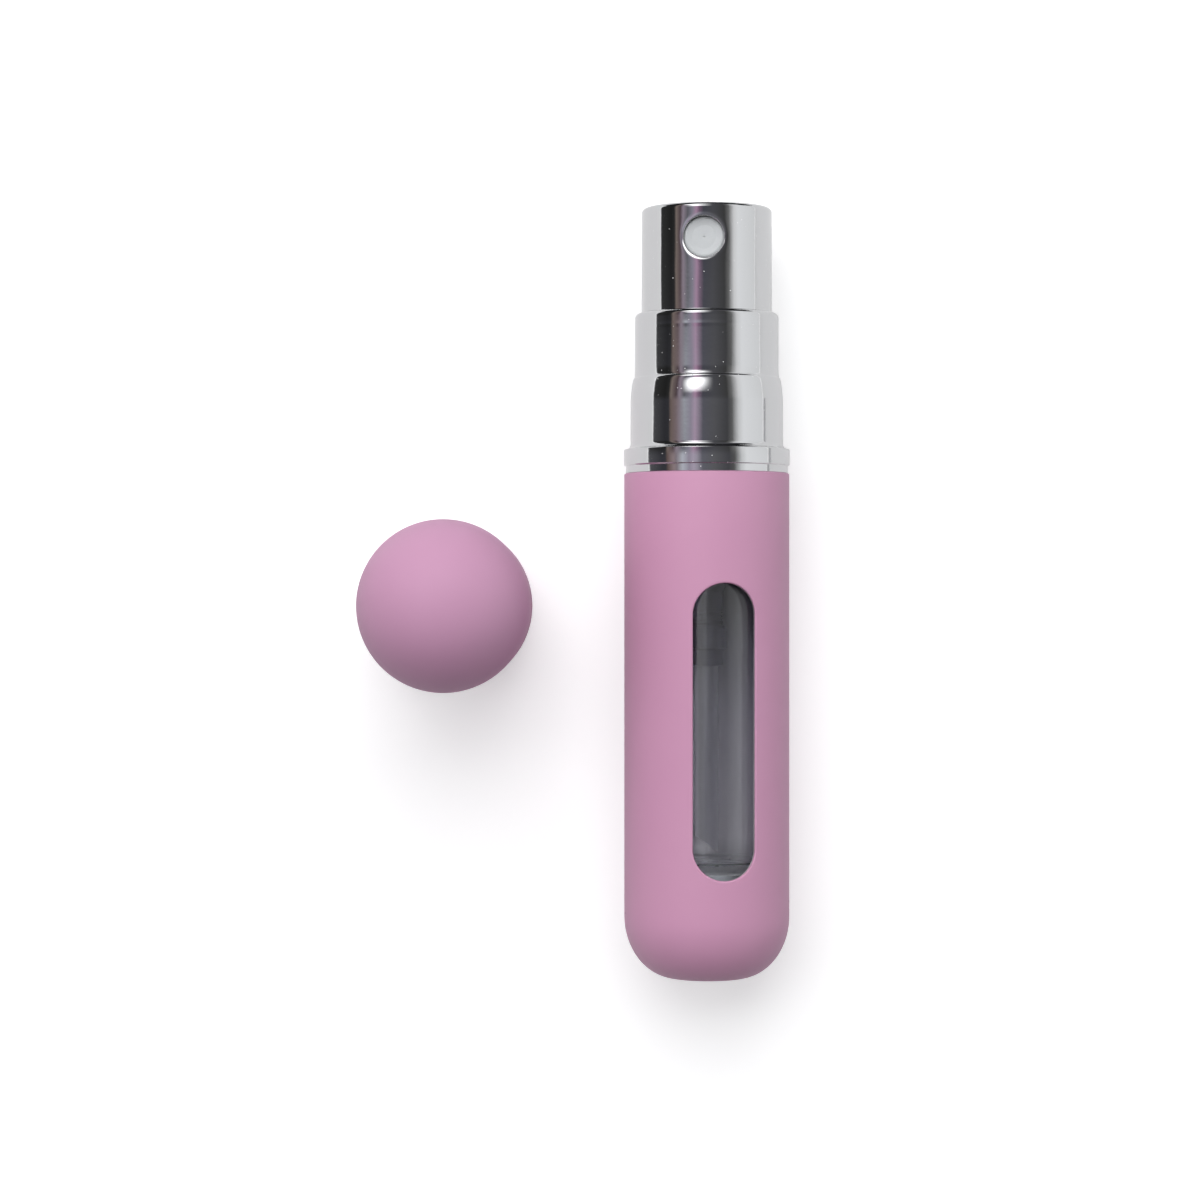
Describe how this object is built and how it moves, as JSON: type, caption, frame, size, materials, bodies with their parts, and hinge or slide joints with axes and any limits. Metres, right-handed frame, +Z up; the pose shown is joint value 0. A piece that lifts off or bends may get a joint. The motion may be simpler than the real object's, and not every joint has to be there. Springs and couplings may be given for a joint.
{
  "type": "perfume bottle",
  "caption": "Slim refillable perfume atomizer lying on its side: matt shell with a level window, stepped bright collar and spray button, and its domed cap stood beside it.",
  "frame": {"origin": "centre of the footprint of the bottle and its cap, on the surface that they rest on", "axes": "+Y along the lying bottle from its base to the spray button, +Z up, +X from the cap to the bottle"},
  "size_m": [0.0436, 0.0792, 0.0325],
  "materials": {
    "soft_touch_pink": "soft-touch coat, satin matt",
    "chrome_plate": "bright plating",
    "clear_vial": "clear moulded plastic",
    "white_plastic": "moulded",
    "nozzle_white": "moulded, milky",
    "frosted_plastic": "natural, half clear",
    "piston_plastic": "moulded",
    "liner_plastic": "moulded",
    "grey_rubber": "matt",
    "steel": "bright wire"
  },
  "bodies": {
    "bottle": {"outer_shell": "soft_touch_pink", "reservoir": "clear_vial", "collar": "chrome_plate", "collar_liner": "white_plastic", "neck_gasket": "grey_rubber", "pump_holder": "white_plastic", "housing_gasket": "grey_rubber", "pump_housing": "frosted_plastic", "check_ball": "steel", "pump_spring": "steel", "dip_tube": "frosted_plastic", "pump_closure": "white_plastic", "stem_seal": "grey_rubber", "filler_port": "white_plastic", "port_seal": "grey_rubber", "valve_spring": "steel"},
    "stem": {"pump_stem": "white_plastic", "piston": "piston_plastic"},
    "sprayer": {"button_shell": "chrome_plate", "button_core": "white_plastic", "nozzle_insert": "nozzle_white"},
    "fill_valve": {"valve_plunger": "white_plastic"},
    "cap": {"cap_shell": "soft_touch_pink", "cap_liner": "liner_plastic"}
  },
  "joints": [
    {"name": "spray_press", "type": "slide", "parent": "bottle", "child": "stem", "axis": [0, -1, 0], "range_m": [0, 0.0035], "stiffness_N_per_m": 400, "springref_m": -0.006, "deforming": ["pump_spring"]},
    {"name": "spray_turn", "type": "hinge", "parent": "stem", "child": "sprayer", "pos_m": [0.0133, 0.034, 0.00855], "axis": [0, 1, 0], "continuous": true},
    {"name": "valve_push", "type": "slide", "parent": "bottle", "child": "fill_valve", "axis": [0, 1, 0], "range_m": [0, 0.001], "stiffness_N_per_m": 150, "springref_m": -0.002, "deforming": ["valve_spring"]},
    {"name": "cap_lift", "type": "slide", "parent": "bottle", "child": "cap", "axis": [0, 0, 1], "range_m": [0, 0.04]}
  ]
}
